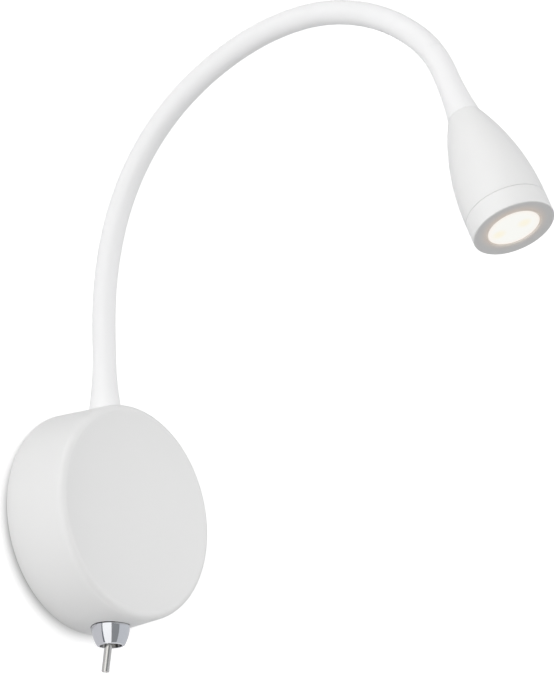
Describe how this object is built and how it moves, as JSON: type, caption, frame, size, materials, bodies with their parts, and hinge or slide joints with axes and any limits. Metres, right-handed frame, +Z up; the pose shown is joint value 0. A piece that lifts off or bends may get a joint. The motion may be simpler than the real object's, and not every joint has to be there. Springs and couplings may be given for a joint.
{
  "type": "wall reading light",
  "caption": "Round wall base with a toggle switch, a flexible sleeved arm and a bullet-shaped spotlight head that stays where it is aimed.",
  "frame": {"origin": "centre of the base on the wall, midway between the two wall screws", "axes": "+Y into the wall, +Z up, so the light stands out towards -Y and the arm lies in the plane X = 0"},
  "size_m": [0.08, 0.204, 0.2234],
  "materials": {
    "base_paint": "satin white paint",
    "head_paint": "satin white paint",
    "zinc_plate": "zinc-plated sheet",
    "zinc_screw": "zinc-plated",
    "zinc_washer": "zinc-plated",
    "dark_screw": "blackened",
    "grommet_rubber": "matt",
    "seal_rubber": "matt",
    "sleeve_silicone": "satin white silicone",
    "core_steel": "wound steel",
    "terminal_plastic": "moulded",
    "driver_plastic": "moulded",
    "driver_lid_plastic": "moulded",
    "switch_plastic": "moulded",
    "screw_brass": "bright",
    "contact_brass": "tinned",
    "ferrule_brass": "turned",
    "switch_nickel": "nickel-plated",
    "nut_chrome": "polished chrome",
    "lever_nickel": "polished nickel",
    "sink_aluminium": "extruded",
    "board_white": "white solder mask",
    "led_phosphor": "yellow phosphor",
    "reflector_white": "matt white",
    "lens_frosted": "frosted, lit from behind",
    "wire_red": "insulated wire",
    "wire_white": "insulated pair"
  },
  "bodies": {
    "base": {"housing": "base_paint", "back_plate": "zinc_plate", "cable_grommet": "grommet_rubber", "retaining_screw": "dark_screw", "terminal_block": "terminal_plastic", "terminal_screws": "screw_brass", "driver_case": "driver_plastic", "driver_lid": "driver_lid_plastic", "driver_screws": "zinc_screw", "base_leads": "wire_red", "switch_body": "switch_plastic", "switch_contacts": "contact_brass", "switch_bushing": "switch_nickel", "switch_washer": "zinc_washer", "switch_lock_nut": "switch_nickel", "switch_dress_nut": "nut_chrome", "foot_ferrule": "ferrule_brass", "foot_washer": "zinc_washer", "foot_nut": "ferrule_brass", "sleeve_foot": "sleeve_silicone", "core_foot": "core_steel", "arm_leads": "wire_white"},
    "lever": {"switch_lever": "lever_nickel"},
    "arm_1": {"sleeve_1": "sleeve_silicone", "core_1": "core_steel"},
    "arm_2": {"sleeve_2": "sleeve_silicone", "core_2": "core_steel"},
    "arm_3": {"sleeve_3": "sleeve_silicone", "core_3": "core_steel"},
    "arm_4": {"sleeve_4": "sleeve_silicone", "core_4": "core_steel"},
    "arm_5": {"sleeve_5": "sleeve_silicone", "core_5": "core_steel"},
    "arm_6": {"sleeve_6": "sleeve_silicone", "core_6": "core_steel"},
    "arm_7": {"sleeve_7": "sleeve_silicone", "core_7": "core_steel"},
    "arm_8": {"sleeve_8": "sleeve_silicone", "core_8": "core_steel"},
    "arm_9": {"sleeve_9": "sleeve_silicone", "core_9": "core_steel"},
    "arm_10": {"sleeve_10": "sleeve_silicone", "core_10": "core_steel"},
    "arm_11": {"sleeve_11": "sleeve_silicone", "core_11": "core_steel"},
    "arm_12": {"sleeve_12": "sleeve_silicone", "core_12": "core_steel"},
    "head": {"sleeve_end": "sleeve_silicone", "core_end": "core_steel", "head_ferrule": "ferrule_brass", "head_shell": "head_paint", "front_ring": "head_paint", "heat_sink": "sink_aluminium", "led_board": "board_white", "led_chips": "led_phosphor", "board_screws": "zinc_screw", "reflector": "reflector_white", "lens_seal": "seal_rubber", "lens": "lens_frosted"}
  },
  "joints": [
    {"name": "arm_bend_1", "type": "hinge", "parent": "base", "child": "arm_1", "pos_m": [0, -0.0101, 0.0708], "axis": [1, 0, 0], "range_deg": [-4.25, 15.75], "deforming": ["sleeve_foot", "arm_leads", "sleeve_1", "sleeve_2", "sleeve_3", "sleeve_4", "sleeve_5", "sleeve_6", "sleeve_7", "sleeve_8", "sleeve_9", "sleeve_10", "sleeve_11", "sleeve_12", "sleeve_end"]},
    {"name": "arm_turn_2", "type": "hinge", "parent": "arm_1", "child": "arm_2", "pos_m": [0, -0.01151, 0.08973], "axis": [0, 0.989, 0.1478], "range_deg": [-20, 20]},
    {"name": "arm_bend_3", "type": "hinge", "parent": "arm_2", "child": "arm_3", "pos_m": [0, -0.01602, 0.10816], "axis": [1, 0, 0], "range_deg": [-12, 8]},
    {"name": "arm_bend_4", "type": "hinge", "parent": "arm_3", "child": "arm_4", "pos_m": [0, -0.02425, 0.12524], "axis": [1, 0, 0], "range_deg": [-14, 6]},
    {"name": "arm_turn_5", "type": "hinge", "parent": "arm_4", "child": "arm_5", "pos_m": [0, -0.03637, 0.1398], "axis": [0, 0.682, 0.7314], "range_deg": [-20, 20]},
    {"name": "arm_bend_6", "type": "hinge", "parent": "arm_5", "child": "arm_6", "pos_m": [0, -0.05166, 0.15101], "axis": [1, 0, 0], "range_deg": [-12.25, 7.75]},
    {"name": "arm_bend_7", "type": "hinge", "parent": "arm_6", "child": "arm_7", "pos_m": [0, -0.06899, 0.15873], "axis": [1, 0, 0], "range_deg": [-10.75, 9.25]},
    {"name": "arm_turn_8", "type": "hinge", "parent": "arm_7", "child": "arm_8", "pos_m": [0, -0.08746, 0.16308], "axis": [0, 0.1392, 0.9903], "range_deg": [-20, 20]},
    {"name": "arm_bend_9", "type": "hinge", "parent": "arm_8", "child": "arm_9", "pos_m": [0, -0.10641, 0.16374], "axis": [1, 0, 0], "range_deg": [-13.12, 6.88]},
    {"name": "arm_bend_10", "type": "hinge", "parent": "arm_9", "child": "arm_10", "pos_m": [0, -0.125, 0.16008], "axis": [1, 0, 0], "range_deg": [-13.88, 6.12]},
    {"name": "arm_turn_11", "type": "hinge", "parent": "arm_10", "child": "arm_11", "pos_m": [0, -0.14218, 0.15207], "axis": [0, -0.5262, 0.8504], "range_deg": [-20, 20]},
    {"name": "arm_bend_12", "type": "hinge", "parent": "arm_11", "child": "arm_12", "pos_m": [0, -0.15696, 0.14021], "axis": [1, 0, 0], "range_deg": [-18.62, 1.38]},
    {"name": "arm_bend_13", "type": "hinge", "parent": "arm_12", "child": "head", "pos_m": [0, -0.16714, 0.12432], "axis": [1, 0, 0], "range_deg": [-11.62, 8.38]},
    {"name": "lever_flip", "type": "hinge", "parent": "base", "child": "lever", "pos_m": [0, -0.011, -0.03946], "axis": [1, 0, 0], "range_deg": [-21, 0]}
  ]
}
